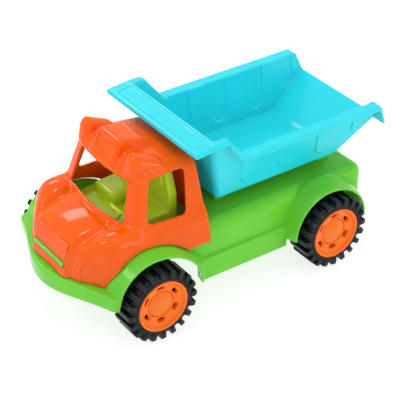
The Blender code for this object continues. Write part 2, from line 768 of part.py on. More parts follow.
def main():
    clear_scene()
    orange = make_material("cab_orange", ORANGE, 0.28)
    hub_orange = make_material("hub_orange", HUB_ORANGE, 0.32)
    green = make_material("chassis_green", GREEN, 0.32)
    cyan = make_material("bed_cyan", CYAN, 0.32)
    black = make_material("tyre_black", BLACK, 0.5)
    steel = make_material("steel", STEEL, 0.35, 1.0)

    truck = make_empty("truck", (0.0, 0.0, 0.0))
    make_chassis(green, truck)
    make_cab(orange, truck)
    make_interior(green, truck)
    for i, place in enumerate(screw_places()):
        seat_z = (LEDGE_Z if place[1] < 0 else DECK_Z) - WALL - FIT
        make_screw(f"cab_screw_{i + 1}", place, seat_z, steel, truck)

    hinge = make_empty("bed_hinge_axis", (0.0, HINGE_Y, HINGE_Z), truck)
    make_bed(cyan, hinge)
    pin = rod((-36.0, 36.0), (HINGE_Y, HINGE_Z), HINGE_PIN_R, 12)
    settle(pin, "bed_hinge_pin", steel, truck)

    for end, axle_y in (("front", 0.0), ("rear", WHEELBASE)):
        axle = rod((-AXLE_HALF, AXLE_HALF), (axle_y, TYRE_R), AXLE_R, 12)
        settle(axle, f"{end}_axle", steel, truck)
        for hand, sign in (("left", 1), ("right", -1)):
            where = f"{end}_{hand}"
            spin = make_empty(f"{where}_wheel_axis", (0.0, axle_y, TYRE_R), truck)
            make_tyre(f"{where}_tyre", sign, black, spin)
            make_hub(f"{where}_hub", sign, hub_orange, spin)
            make_hub_cap(f"{where}_hub_cap", sign, hub_orange, spin)
            make_push_nut(f"{where}_push_nut", sign, axle_y, steel, truck)
            make_washer(f"{where}_washer", sign, axle_y, steel, truck)


main()
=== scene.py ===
import math

import bpy
import numpy as np
from mathutils import Matrix, Vector


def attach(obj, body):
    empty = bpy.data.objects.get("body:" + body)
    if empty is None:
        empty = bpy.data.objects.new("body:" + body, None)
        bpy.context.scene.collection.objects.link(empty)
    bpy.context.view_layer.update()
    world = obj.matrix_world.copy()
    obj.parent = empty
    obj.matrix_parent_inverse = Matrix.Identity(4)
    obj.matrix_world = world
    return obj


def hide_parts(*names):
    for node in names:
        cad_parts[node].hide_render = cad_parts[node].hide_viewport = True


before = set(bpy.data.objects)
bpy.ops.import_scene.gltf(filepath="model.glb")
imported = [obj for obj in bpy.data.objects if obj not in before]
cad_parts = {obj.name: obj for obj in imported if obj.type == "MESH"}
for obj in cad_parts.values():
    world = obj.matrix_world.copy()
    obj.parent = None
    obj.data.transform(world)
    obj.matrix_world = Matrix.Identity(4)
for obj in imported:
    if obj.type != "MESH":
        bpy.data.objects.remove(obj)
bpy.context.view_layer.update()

MM = 0.001
# The shape functions measure Y in millimetres from the front axle; the frame is centred on the truck.
SHIFT_Y = 102.0
AXLE_Z = 37.0
WHEELBASE = 200.0
HINGE_Y, HINGE_Z = 230.0, 87.0
KNUCKLE_R = 5.0
PIN_HOLE_R = 2.2


# ---------------------------------------------------------------- implicit shapes, in millimetres

def rmax(a, b, r):
    """Intersection of two distances whose edge is rounded to radius r."""
    u = np.maximum(a + r, 0.0)
    v = np.maximum(b + r, 0.0)
    return np.minimum(np.maximum(a, b) + r, 0.0) + np.sqrt(u * u + v * v) - r


def rmin(a, b, r):
    """Union of two distances whose seam is filled to radius r."""
    return -rmax(-a, -b, r)


def slab(v, low, high):
    """Distance to the space between two parallel planes."""
    return np.abs(v - (low + high) / 2) - (high - low) / 2


def step(v, low, high):
    """A smooth rise from 0 at low to 1 at high."""
    t = np.clip((v - low) / (high - low), 0.0, 1.0)
    return t * t * (3 - 2 * t)


def polygon(u, v, points):
    """Signed distance in a plane to a closed polygon."""
    best = None
    inside = None
    for i, (x1, y1) in enumerate(points):
        x0, y0 = points[i - 1]
        ex, ey = x1 - x0, y1 - y0
        wu, wv = u - x0, v - y0
        t = np.clip((wu * ex + wv * ey) / (ex * ex + ey * ey), 0.0, 1.0)
        d = (wu - t * ex) ** 2 + (wv - t * ey) ** 2
        best = d if best is None else np.minimum(best, d)
        crosses = ((v < y0) != (v < y1)) & (u < (v - y0) * ex / (ey if ey else 1e-9) + x0)
        inside = crosses if inside is None else inside ^ crosses
    return np.sqrt(best) * np.where(inside, -1.0, 1.0)


def over_axle(y, z, axle_y):
    """Distance from an axle above its height, and fore-and-aft distance below it."""
    return np.sqrt((y - axle_y) ** 2 + np.maximum(z - AXLE_Z, 0.0) ** 2)


# ---------------------------------------------------------------- from a shape to a mesh

CORNERS = np.array([(i, j, k) for i in (0, 1) for j in (0, 1) for k in (0, 1)])
EDGES = [(a, b) for a in range(8) for b in range(a + 1, 8) if np.abs(CORNERS[a] - CORNERS[b]).sum() == 1]
RELAX_PASSES = 2
DRAW_PASSES = 5
UNTURN_PASSES = 5
TINY = 1e-9


def sample(field, axes, mirror):
    """Field values on the grid; a mirrored shape is only worked out for X from 0 up."""
    x, y, z = (axis.astype(np.float32) for axis in axes)
    if mirror:
        x = x[len(x) // 2:]
    values = field(x[:, None, None], y[None, :, None], z[None, None, :])
    values = np.broadcast_to(values, (len(x), len(y), len(z)))
    return np.concatenate((values[:0:-1], values), axis=0) if mirror else np.array(values)


def gradient(field, points, reach):
    """Slope of the field at each point, by central differences."""
    slope = np.empty_like(points)
    for k in range(3):
        offset = np.zeros(3)
        offset[k] = reach
        after, before = points + offset, points - offset
        slope[:, k] = (field(*after.T) - field(*before.T)) / (2 * reach)
    return slope


def lengths(vectors):
    return np.sqrt((vectors * vectors).sum(1))


def unit(vectors):
    return vectors / np.maximum(lengths(vectors), TINY)[:, None]


def gather(index, vectors, count):
    """Sums of the vectors that share an index."""
    return np.stack([np.bincount(index, vectors[:, k], count) for k in range(3)], axis=1)


def grid_axes(low, high, pitch, mirror):
    """Grid lines past the box by two steps; a mirrored grid is symmetric about X = 0."""
    axes = [np.arange(low[k] - 2 * pitch, high[k] + 3 * pitch, pitch) for k in range(3)]
    if mirror:
        count = int(math.ceil(high[0] / pitch)) + 1
        axes[0] = np.arange(-count, count + 1) * pitch
    return axes


def surface_net(values, axes, pitch):
    """One point in each cell that the surface crosses, and one quad on each grid edge that it crosses."""
    inside = values < 0
    nx, ny, nz = values.shape
    total = np.zeros((nx - 1, ny - 1, nz - 1), np.int8)
    for i, j, k in CORNERS:
        total += inside[i:nx - 1 + i, j:ny - 1 + j, k:nz - 1 + k]
    cells = np.argwhere((total > 0) & (total < 8))
    index = np.full(total.shape, -1, np.int64)
    index[tuple(cells.T)] = np.arange(len(cells))
    corner_values = np.stack([values[tuple((cells + c).T)] for c in CORNERS], axis=1).astype(float)
    places = np.zeros((len(cells), 3))
    weight = np.zeros(len(cells))
    for a, b in EDGES:
        va, vb = corner_values[:, a], corner_values[:, b]
        cut = (va < 0) != (vb < 0)
        t = np.where(cut, va / np.where(cut, va - vb, 1.0), 0.0)
        places += np.where(cut[:, None], CORNERS[a] + t[:, None] * (CORNERS[b] - CORNERS[a]), 0.0)
        weight += cut
    points = (cells + places / weight[:, None]) * pitch + np.array([axis[0] for axis in axes])
    quads = []
    for k in range(3):
        m, n = (k + 1) % 3, (k + 2) % 3
        head = [slice(None)] * 3
        tail = [slice(None)] * 3
        head[k], tail[k] = slice(0, -1), slice(1, None)
        first = inside[tuple(head)]
        at = np.argwhere(first != inside[tuple(tail)])
        keep = (at[:, m] > 0) & (at[:, m] < values.shape[m] - 1)
        keep &= (at[:, n] > 0) & (at[:, n] < values.shape[n] - 1)
        at = at[keep]
        solid_first = first[tuple(at.T)]
        ring = []
        for dm, dn in ((-1, -1), (0, -1), (0, 0), (-1, 0)):
            cell = at.copy()
            cell[:, m] += dm
            cell[:, n] += dn
            ring.append(index[tuple(cell.T)])
        ring = np.stack(ring, axis=1)
        ring[~solid_first] = ring[~solid_first][:, ::-1]
        quads.append(ring)
    return points, np.concatenate(quads)


def relaxed(points, quads):
    """Each point moved half way to the middle of its neighbours, twice."""
    ends = np.concatenate([quads[:, (i, (i + 1) % 4)] for i in range(4)])
    near = np.bincount(ends[:, 0], minlength=len(points))
    for _ in range(RELAX_PASSES):
        middle = gather(ends[:, 0], points[ends[:, 1]], len(points))
        points = points + 0.5 * (middle / np.maximum(near, 1)[:, None] - points)
    return points


def drawn(field, start, pitch):
    """The points drawn onto the true surface, none further than its own cell."""
    points = start.copy()
    for _ in range(DRAW_PASSES):
        slope = gradient(field, points, 0.15 * pitch)
        move = -(field(*points.T) / np.maximum((slope * slope).sum(1), 0.2))[:, None] * slope
        away = points + 0.8 * move - start
        points = start + away * np.minimum(1.0, 0.9 * pitch / np.maximum(lengths(away), TINY))[:, None]
    return points


def unturned(points, start, quads, normals):
    """Points at triangles that face away from the surface's normal go back towards their start."""
    for _ in range(UNTURN_PASSES):
        turned = []
        for a, b, c in ((0, 1, 2), (0, 2, 3), (0, 1, 3), (1, 2, 3)):
            corner = points[quads[:, (a, b, c)]]
            facing = np.cross(corner[:, 1] - corner[:, 0], corner[:, 2] - corner[:, 0])
            along = (facing * normals[quads].sum(1)).sum(1)
            turned.append(quads[along < 1.2 * lengths(facing)].ravel())
        turned = np.unique(np.concatenate(turned))
        points[turned] = 0.4 * points[turned] + 0.6 * start[turned]
    return points


def surface(name, field, low, high, pitch, mirror=True, shift=(0.0, -SHIFT_Y, 0.0)):
    """A smooth closed mesh of field < 0."""
    axes = grid_axes(low, high, pitch, mirror)
    points, quads = surface_net(sample(field, axes, mirror), axes, pitch)
    start = relaxed(points, quads)
    points = drawn(field, start, pitch)
    normals = unit(gradient(field, points, 0.35 * pitch))
    points = unturned(points, start, quads, normals)
    faced = np.cross(points[quads[:, 2]] - points[quads[:, 0]], points[quads[:, 3]] - points[quads[:, 1]])
    round_about = unit(gather(quads.ravel(), np.repeat(faced, 4, axis=0), len(points)))
    disagree = (round_about * normals).sum(1) < 0.8
    normals = np.where(disagree[:, None], round_about, normals)
    mesh = bpy.data.meshes.new(name)
    mesh.vertices.add(len(points))
    mesh.vertices.foreach_set("co", ((points + np.array(shift)) * MM).ravel())
    mesh.loops.add(len(quads) * 4)
    mesh.loops.foreach_set("vertex_index", quads.ravel().astype(np.int32))
    mesh.polygons.add(len(quads))
    mesh.polygons.foreach_set("loop_start", np.arange(0, len(quads) * 4, 4, dtype=np.int32))
    mesh.polygons.foreach_set("loop_total", np.full(len(quads), 4, np.int32))
    mesh.update(calc_edges=True)
    mesh.polygons.foreach_set("use_smooth", np.ones(len(quads), bool))
    mesh.normals_split_custom_set_from_vertices(normals.tolist())
    mesh.update()
    return mesh


def piece(name, mesh, material, body, place=None):
    thing = bpy.data.objects.new(name, mesh)
    bpy.context.scene.collection.objects.link(thing)
    if not mesh.materials:
        mesh.materials.append(material)
    if place is not None:
        thing.matrix_world = place
    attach(thing, body)
    return thing


# ---------------------------------------------------------------- materials

def link(tree, output, socket):
    tree.links.new(output, socket)


def plastic(name, colour, roughness, shade, bump=0.12, grain=1400.0, wear=0.25, specular=0.3, glow=0.35):
    """Moulded plastic: a faint cloudy tint, uneven gloss, a fine moulded grain and rubbed edges."""
    material = bpy.data.materials.new(name)
    material.use_nodes = True
    tree = material.node_tree
    nodes = tree.nodes
    shader = nodes["Principled BSDF"]
    shader.inputs["IOR"].default_value = 1.49
    shader.inputs["Specular IOR Level"].default_value = specular
    shader.inputs["Subsurface Weight"].default_value = glow
    shader.inputs["Subsurface Radius"].default_value = [0.15 + 0.85 * c for c in colour]
    shader.inputs["Subsurface Scale"].default_value = 0.006
    place = nodes.new("ShaderNodeTexCoord")
    cloud = nodes.new("ShaderNodeTexNoise")
    cloud.inputs["Scale"].default_value = 26.0
    cloud.inputs["Detail"].default_value = 4.0
    link(tree, place.outputs["Object"], cloud.inputs["Vector"])
    tint = nodes.new("ShaderNodeMix")
    tint.data_type = "RGBA"
    tint.inputs[6].default_value = (*colour, 1.0)
    tint.inputs[7].default_value = (*shade, 1.0)
    spread = nodes.new("ShaderNodeMapRange")
    spread.inputs["From Min"].default_value = 0.35
    spread.inputs["From Max"].default_value = 0.75
    spread.inputs["To Max"].default_value = 0.6
    link(tree, cloud.outputs["Fac"], spread.inputs["Value"])
    link(tree, spread.outputs["Result"], tint.inputs[0])
    edge = nodes.new("ShaderNodeNewGeometry")
    rub = nodes.new("ShaderNodeMapRange")
    rub.inputs["From Min"].default_value = 0.52
    rub.inputs["From Max"].default_value = 0.62
    rub.inputs["To Max"].default_value = wear
    link(tree, edge.outputs["Pointiness"], rub.inputs["Value"])
    patch = nodes.new("ShaderNodeTexNoise")
    patch.inputs["Scale"].default_value = 160.0
    patch.inputs["Detail"].default_value = 6.0
    link(tree, place.outputs["Object"], patch.inputs["Vector"])
    worn = nodes.new("ShaderNodeMath")
    worn.operation = "MULTIPLY"
    link(tree, rub.outputs["Result"], worn.inputs[0])
    link(tree, patch.outputs["Fac"], worn.inputs[1])
    pale = nodes.new("ShaderNodeMix")
    pale.data_type = "RGBA"
    pale.inputs[7].default_value = (*[c + (1 - c) * 0.35 for c in colour], 1.0)
    link(tree, worn.outputs[0], pale.inputs[0])
    link(tree, tint.outputs[2], pale.inputs[6])
    link(tree, pale.outputs[2], shader.inputs["Base Color"])
    gloss = nodes.new("ShaderNodeMapRange")
    gloss.inputs["To Min"].default_value = roughness - 0.05
    gloss.inputs["To Max"].default_value = roughness + 0.07
    link(tree, patch.outputs["Fac"], gloss.inputs["Value"])
    link(tree, gloss.outputs["Result"], shader.inputs["Roughness"])
    fine = nodes.new("ShaderNodeTexNoise")
    fine.inputs["Scale"].default_value = grain
    fine.inputs["Detail"].default_value = 2.0
    link(tree, place.outputs["Object"], fine.inputs["Vector"])
    wave = nodes.new("ShaderNodeTexNoise")
    wave.inputs["Scale"].default_value = 34.0
    wave.inputs["Detail"].default_value = 1.0
    link(tree, place.outputs["Object"], wave.inputs["Vector"])
    relief = nodes.new("ShaderNodeMath")
    relief.operation = "MULTIPLY_ADD"
    relief.inputs[1].default_value = 0.06
    link(tree, fine.outputs["Fac"], relief.inputs[0])
    link(tree, wave.outputs["Fac"], relief.inputs[2])
    raised = nodes.new("ShaderNodeBump")
    raised.inputs["Strength"].default_value = bump
    raised.inputs["Distance"].default_value = 0.0012
    link(tree, relief.outputs[0], raised.inputs["Height"])
    link(tree, raised.outputs["Normal"], shader.inputs["Normal"])
    return material


def metal(name, colour, roughness):
    """Bright drawn steel with fine drawing lines along its length and dull patches."""
    material = bpy.data.materials.new(name)
    material.use_nodes = True
    tree = material.node_tree
    nodes = tree.nodes
    shader = nodes["Principled BSDF"]
    shader.inputs["Base Color"].default_value = (*colour, 1.0)
    shader.inputs["Metallic"].default_value = 1.0
    place = nodes.new("ShaderNodeTexCoord")
    stretch = nodes.new("ShaderNodeMapping")
    stretch.inputs["Scale"].default_value = (60.0, 2400.0, 2400.0)
    link(tree, place.outputs["Object"], stretch.inputs["Vector"])
    lines = nodes.new("ShaderNodeTexNoise")
    lines.inputs["Scale"].default_value = 1.0
    lines.inputs["Detail"].default_value = 3.0
    link(tree, stretch.outputs["Vector"], lines.inputs["Vector"])
    gloss = nodes.new("ShaderNodeMapRange")
    gloss.inputs["To Min"].default_value = roughness
    gloss.inputs["To Max"].default_value = roughness + 0.2
    link(tree, lines.outputs["Fac"], gloss.inputs["Value"])
    link(tree, gloss.outputs["Result"], shader.inputs["Roughness"])
    raised = nodes.new("ShaderNodeBump")
    raised.inputs["Strength"].default_value = 0.15
    raised.inputs["Distance"].default_value = 0.0002
    link(tree, lines.outputs["Fac"], raised.inputs["Height"])
    link(tree, raised.outputs["Normal"], shader.inputs["Normal"])
    return material


orange = plastic("cab_orange_look", (1.0, 0.12, 0.0), 0.08, (0.95, 0.1, 0.0), specular=0.28)
hub_orange = plastic("hub_orange_look", (1.0, 0.18, 0.002), 0.18, (0.93, 0.15, 0.002))
green = plastic("chassis_green_look", (0.16, 0.62, 0.035), 0.16, (0.12, 0.55, 0.03))
# The seat colour is the seats' own green made lighter and yellower, with painted light standing in for the orange
# light bouncing round the cab.
seat_lime_and_painted_bounce = plastic("seat_green_look", (0.5, 0.78, 0.02), 0.12, (0.42, 0.68, 0.015), specular=0.5)
cyan = plastic("bed_cyan_look", (0.02, 0.69, 0.79), 0.2, (0.018, 0.63, 0.73))
black = plastic(
    "tyre_black_look", (0.003, 0.004, 0.006), 0.33, (0.006, 0.007, 0.01), bump=0.3, grain=900.0, wear=0.12, glow=0.0
)
steel = metal("steel_look", (0.55, 0.56, 0.58), 0.25)


# ---------------------------------------------------------------- chassis

WALL = 2.5
DECK_Z = 81.0
# Axle Y, then the inner, outer and outer-edge radius of the flare round it.
FRONT_WELL = (0.0, 42.0, 46.9, 43.6)
REAR_WELL = (WHEELBASE, 40.2, 47.4, 42.4)
FRONT_GAP_R = 40.4  # light shows over the front wheels, through the chassis side


def front_lean(ax, y, z):
    """The front arches reach further back than forward, and their rear legs slant inwards."""
    slant = 0.55 * np.clip(85.0 - ax, 0.0, 26.0) * step(y, 20.0, 45.0) * step(70.0 - z, 0.0, 25.0)
    back = y - slant
    return np.where(back > 0.0, 0.84 * back, 1.06 * back)


def rear_lean(y):
    """The rear arches reach a little further back than forward."""
    return WHEELBASE + np.where(y > WHEELBASE, 0.93, 1.05) * (y - WHEELBASE)


def well_shape(ax, y, z, axle_y, radius):
    """The space that a wheel turns in."""
    return rmax(over_axle(y, z, axle_y) - radius, 62.5 - ax, 1.5)


def arch_shape(ax, y, z, axle_y, inner, outer, lip):
    """A flare round a wheel whose broad band closes in to a thin outer edge."""
    rr = over_axle(y, z, axle_y)
    slope = (outer - lip) / 18.0
    band = rmax((rr - outer + slope * np.maximum(ax - 67.0, 0.0)) * 0.95, slab(ax, 61.0, 85.0), 1.4)
    return rmax(band, inner - rr - 0.05 * (85.0 - ax), 0.8)


def bumper_shape(ax, y, z):
    """The bowed bumper below the nose."""
    bow = np.exp(-(ax / 64.0) ** 2)
    face = -72.0 + 32.5 * (1 - bow)
    slope = 32.5 * 2 * ax / 64.0 ** 2 * bow
    front = (face - 0.03 * (z - 55.0) - y) / np.sqrt(1 + slope * slope)
    return rmax(rmax(rmax(front, ax - 85.0, 5.0), y + 26.0, 1.0), z - 55.0, 2.6)


def from_pin(y, z):
    """Distance from the middle of the bed's hinge pin."""
    return np.sqrt((y - HINGE_Y) ** 2 + (z - HINGE_Z) ** 2)


def chassis_shape(x, y, z):
    """Platform, sill, bumper and flares over a hollow underside, with bosses, hinge ears and bed rests."""
    ax = np.abs(x)
    half = 62.5 + 3.5 * step(y, 40.0, 46.0)
    body = rmax(rmax(ax - half, slab(y, -29.0, 257.5), 12.0), z - DECK_Z, 11.0)
    front_y, rear_y = front_lean(ax, y, z), rear_lean(y)
    front_well = well_shape(ax, front_y, z, *FRONT_WELL[:2])
    wells = np.minimum(front_well, well_shape(ax, rear_y, z, *REAR_WELL[:2]))
    body = rmax(body, -wells, 1.0)
    sill = rmax(rmax(ax - 70.0, slab(y, 40.0, 160.0), 1.0), z - 48.0, 2.0)
    sill = rmax(sill, -wells, 1.0)
    tub = rmin(body, sill, 2.5)
    bumper = rmax(bumper_shape(ax, y, z), -wells, 1.0)
    hollow = np.minimum(tub, bumper) + WALL + 0.2
    rise = 38.0 + 4.0 * (ax / 87.0) ** 2
    bumper = rmax(bumper, rise - z, 1.3)
    solid = rmin(rmax(tub, 24.0 - z, 1.0), bumper, 1.5)
    front_foot = 34.0 + 7.0 * step(-y, 0.0, 20.0)
    rear_foot = 39.0 - 4.0 * step(WHEELBASE - y, 20.0, 40.0)
    front = rmax(arch_shape(ax, front_y, z, *FRONT_WELL), front_foot - z, 1.3)
    rear = rmax(arch_shape(ax, rear_y, z, *REAR_WELL), rear_foot - z, 1.3)
    solid = rmin(rmin(solid, front, 1.2), rear, 0.8)
    solid = rmax(solid, -hollow, 0.6)
    gap = over_axle(front_y, z, 0.0) - FRONT_GAP_R
    solid = rmax(solid, -np.maximum(gap, 58.5 - ax), 0.8)
    for axle_y in (0.0, WHEELBASE):
        boss = np.sqrt((y - axle_y) ** 2 + (z - AXLE_Z) ** 2) - 6.0
        web = np.maximum(np.abs(y - axle_y) - 1.3, slab(z, AXLE_Z, 79.5))
        solid = rmin(solid, rmax(np.minimum(boss, web), slab(ax, 48.5, 62.3), 0.6), 1.0)
    knuckle = from_pin(y, z)
    flank = np.abs(y - HINGE_Y) - KNUCKLE_R - 0.35 * np.maximum(HINGE_Z - z, 0.0)
    ear = np.minimum(knuckle - KNUCKLE_R, np.maximum(flank, slab(z, 79.0, HINGE_Z)))
    ear = rmax(rmax(ear, slab(ax, 30.0, 35.0), 0.8), PIN_HOLE_R - knuckle, 0.3)
    rest = rmax(rmax(slab(ax, 22.0, 34.0), slab(y, 100.0, 112.0), 1.5), slab(z, 79.0, 92.3), 1.0)
    solid = rmin(solid, np.minimum(ear, rest), 1.5)
    bar = rmax(rmax(ax - 25.7, slab(z, 64.5, 68.9), 1.6), slab(y, -62.6, -56.5), 0.8)
    web = np.maximum(np.maximum(ax - 24.0, slab(y, -58.6, -56.6)), slab(z, 53.0, 68.0))
    return np.minimum(solid, rmin(bar, web, 0.6))


# ---------------------------------------------------------------- cab

CAB_FOOT_Z = 55.4
CAB_REAR_Y = 69.0
CAB_WALL = 2.9


def roof_height(ax, y):
    """The roof falls to the rear and the sides, and rolls down at the front."""
    return 151.0 + 0.12 * (CAB_REAR_Y - y) - 0.03 * np.maximum(18.0 - y, 0.0) ** 2 - 0.0022 * ax * ax


def headlight_line(ax, y, z):
    """Distance along the face from the arched outline of a headlight."""
    u = (ax - 51.75) * 0.843 + (y + 47.65) * 0.537
    v = np.maximum(z - 66.7, 0.0)
    return np.sqrt(u * u + v * v) - 11.8


def cab_solid(x, y, z):
    """The cab as one filled block: bonnet, wings, cabin, brow, roof lights and raised block."""
    ax = np.abs(x)
    lift = z - 55.0
    nose = (-64.3 + 0.241 * lift - y) * 0.972
    loaf_top = (z - (99.6 - 0.0058 * np.minimum(y + 18.0, 0.0) ** 2 - 0.0036 * ax * ax)) * 0.97
    loaf = rmax(rmax(nose, ax - (30.3 + 0.14 * np.clip(y + 60.0, 0.0, 60.0)), 5.0), loaf_top, 8.0)
    raked = (ax - 41.0) * 0.537 - (y + 54.5) * 0.843 + 0.1 * lift
    from_wheel = over_axle(front_lean(ax, y, z), z, 0.0)
    outer = ax - (71.4 - 0.1 * lift + 1.2 * np.exp(-((from_wheel - 50.0) / 5.0) ** 2))
    line = headlight_line(ax, y, z)
    crest = 102.3 - 0.02 * (ax - 52.0) ** 2 - 0.014 * np.minimum(y + 18.0, 0.0) ** 2
    wing = rmax(raked, (z - crest) * 0.95, 9.0)
    at_face = step(ax, 36.0, 40.0) * (y < -30.0)
    wing = wing + at_face * (0.7 * step(-line, 0.6, 2.0) - 1.3 * np.exp(-(line / 1.3) ** 2))
    wing = rmax(wing, 35.0 - ax, 7.0)
    base = rmax(np.maximum(raked + 1.2, -57.0 + 0.2 * lift - y), z - 87.0, 8.0)
    lower = rmin(rmin(loaf, wing, 8.0), base, 5.0)
    lower = rmax(rmax(lower, outer, 8.0), y - CAB_REAR_Y, 2.5)
    rise = z - 86.0
    screen = (-18.0 + 0.3 * (z - 90.0) + 0.0025 * ax * ax - y) * 0.958
    back = 67.0 - 0.34 * rise
    fore = 64.5 - 0.23 * rise
    side = (ax - (fore + (back - fore) * np.clip((y + 18.0) / 87.0, 0.0, 1.0))) * 0.965
    roof = z - roof_height(ax, y)
    cabin = rmax(rmax(rmax(screen, side, 5.0), y - CAB_REAR_Y, 2.5), roof, 8.0)
    brow = rmax(rmax(-8.6 + 0.0036 * ax * ax - y, ax - 51.4, 12.0), roof, 7.0)
    brow = rmax(rmax(brow, 142.8 - z, 1.6), y - 26.0, 8.0)
    solid = rmin(rmin(lower, cabin, 4.0), brow, 4.0)
    ridge = 157.0 - 0.46 * np.maximum(y - 9.0, 0.0)
    pod = np.sqrt((ax - 39.0) ** 2 + np.maximum(z - ridge, 0.0) ** 2) - 9.6
    pod = rmax(rmax(pod, 1.0 + 0.16 * (z - 150.0) - y, 8.0), y - 36.0, 7.0)
    solid = rmin(solid, rmax(pod, 146.0 - z, 1.0), 3.5)
    crest = 167.6 - 0.16 * np.maximum(y - 14.0, 0.0)
    flank = (ax - 17.2 - 0.2 * (crest - z)) * 0.98
    front = (6.6 - 0.45 * (crest - z) - y) * 0.912
    tail = (y - 32.0 - 0.8 * (crest - z)) * 0.78
    block = rmax(rmax(flank, np.maximum(front, tail), 4.0), z - crest, 3.0)
    pane = rmax(ax - 13.4, slab(z, 152.6, 164.4), 2.0)
    block = block + 1.4 * step(-pane, -0.8, 0.8) * (y < 9.5)
    return rmin(solid, rmax(block, 146.0 - z, 1.0), 2.0)


def cab_shape(x, y, z):
    """The cab hollowed to its wall, with its windows, grille recess and slot."""
    ax = np.abs(x)
    solid = cab_solid(x, y, z)
    panel = rmax(slab(z, 70.5, 86.8), ax - 27.2, 1.5)
    solid = solid + 1.1 * step(-panel, -0.4, 0.4) * (y < -50.0)
    shell = rmax(solid, -(solid + CAB_WALL), 0.7)
    window = polygon(y, z, ((13.6, 107.4), (44.2, 106.1), (49.2, 135.4), (20.6, 135.6))) - 5.6
    shell = rmax(shell, -np.maximum(window, 30.0 - ax), 0.9)
    screen = polygon(ax, z, ((-9.0, 104.4), (42.0, 104.4), (35.6, 137.0), (-9.0, 137.0))) - 3.2
    shell = rmax(shell, -np.maximum(screen, np.maximum(y - 12.0, -19.5 - y)), 0.9)
    slot = rmax(ax - 26.5, slab(z, 63.9, 69.5), 2.6)
    shell = rmax(shell, -np.maximum(slot, y + 52.0), 0.6)
    shell = rmax(shell, -np.maximum(over_axle(front_lean(ax, y, z), z, 0.0) - 47.4, 65.0 - ax), 0.6)
    shell = rmax(shell, -np.maximum(46.0 - y, z - 68.0), 0.6)
    shell = rmax(shell, -np.maximum(np.maximum(ax - 67.3, 58.0 - y), z - DECK_Z - 0.5), 0.4)
    return rmax(shell, CAB_FOOT_Z - z, 0.6)


# ---------------------------------------------------------------- interior

SEAT_BACK = ((-30.0, 82.0), (18.6, 82.0), (18.6, 112.0), (11.0, 132.5), (-30.0, 132.5))


def interior_shape(x, y, z):
    """Floor, two seats with headrests, dashboard and a steering wheel on the left."""
    ax = np.abs(x)
    floor = rmax(rmax(ax - 50.0, slab(y, -26.5, 51.0), 3.0), slab(z, 81.4, 84.0), 0.6)
    sx = ax - 25.0
    cushion_top = 95.0 + 0.05 * (y - 14.0) - 0.004 * sx * sx
    cushion = rmax(rmax(np.abs(sx) - 17.0, slab(y, 13.0, 42.0), 3.5), slab(z, 82.0, cushion_top), 3.0)
    tall = polygon(np.abs(sx), z, SEAT_BACK)
    facet = 37.6 + 0.14 * np.abs(sx) + 0.07 * (z - 84.0)
    back = rmax(rmax(tall, slab(y, facet, 51.0), 1.6), 82.0 - z, 1.0)
    head = rmax(np.abs(sx) - 8.4 + 0.2 * (z - 124.0), slab(z, 118.0, 130.5), 1.0)
    head = rmax(head, slab(y, facet - 1.8, 50.0), 0.8)
    solid = rmin(floor, rmin(rmin(cushion, back, 2.0), head, 0.6), 1.5)
    dash_top = 98.4 + 0.2 * np.minimum(y + 19.0, 0.0) - 0.002 * ax * ax
    dash = rmax(rmax(slab(y, -25.5, -6.0 - 0.5 * (z - 82.0)), z - dash_top, 2.5), ax - 52.0, 2.0)
    solid = rmin(solid, rmax(dash, 81.4 - z, 0.3), 1.5)
    solid = rmax(solid, cab_solid(x, y, z) + CAB_WALL + 0.4, 0.4)
    dy, dz = y - 2.0, z - 100.5
    along = 0.7071 * (dz + dy)
    across = 0.7071 * (dy - dz)
    spread = np.sqrt((x - 25.0) ** 2 + across ** 2)
    ring = np.sqrt((spread - 10.5) ** 2 + along ** 2) - 1.7
    spoke = rmax(rmax(np.abs(x - 25.0) - 10.5, np.abs(across) - 2.3, 0.8), np.abs(along) - 1.0, 0.6)
    column = rmax(spread - 2.6, slab(along, -24.0, 1.6), 0.8)
    return rmin(solid, rmin(ring, rmin(spoke, column, 1.0), 1.0), 0.8)


# ---------------------------------------------------------------- bed

BED_WALL = 2.6
PANELS = ((111.0, 135.0), (155.5, 179.5), (199.5, 223.5), (242.5, 261.5))


def bed_top(y):
    """Height of the rim: high at the front, then down to the long sides."""
    return 168.5 - 24.0 * np.clip((y - 88.5) / 18.5, 0.0, 1.0)


def bed_emboss(y, z):
    """How far the side walls' panels stand out: upright panels with round lower corners."""
    depth = 0.0
    for low, high in PANELS:
        floor = 103.5 + np.maximum(low - 216.0, 0.0) * 0.42
        panel = rmax(slab(y, low, high) + 0.1 * (141.0 - z), floor - z, 8.5)
        depth = depth + step(-panel, -0.4, 0.4)
    return depth


def bed_hopper(ax, y, z):
    """The bed as a filled block, and its side plane."""
    side = (ax - (50.5 + 0.235 * (z - 93.0))) * 0.9735
    side = side - 1.1 * bed_emboss(y, z)
    front = (90.0 - 0.234 * (z - 93.0) - y) * 0.9737
    slope = (93.0 + 0.7375 * (y - 232.0) - z) * 0.8048
    under = rmax(93.0 - z, slope, 5.0)
    return rmax(rmax(side, front, 6.0), under, 3.5), side


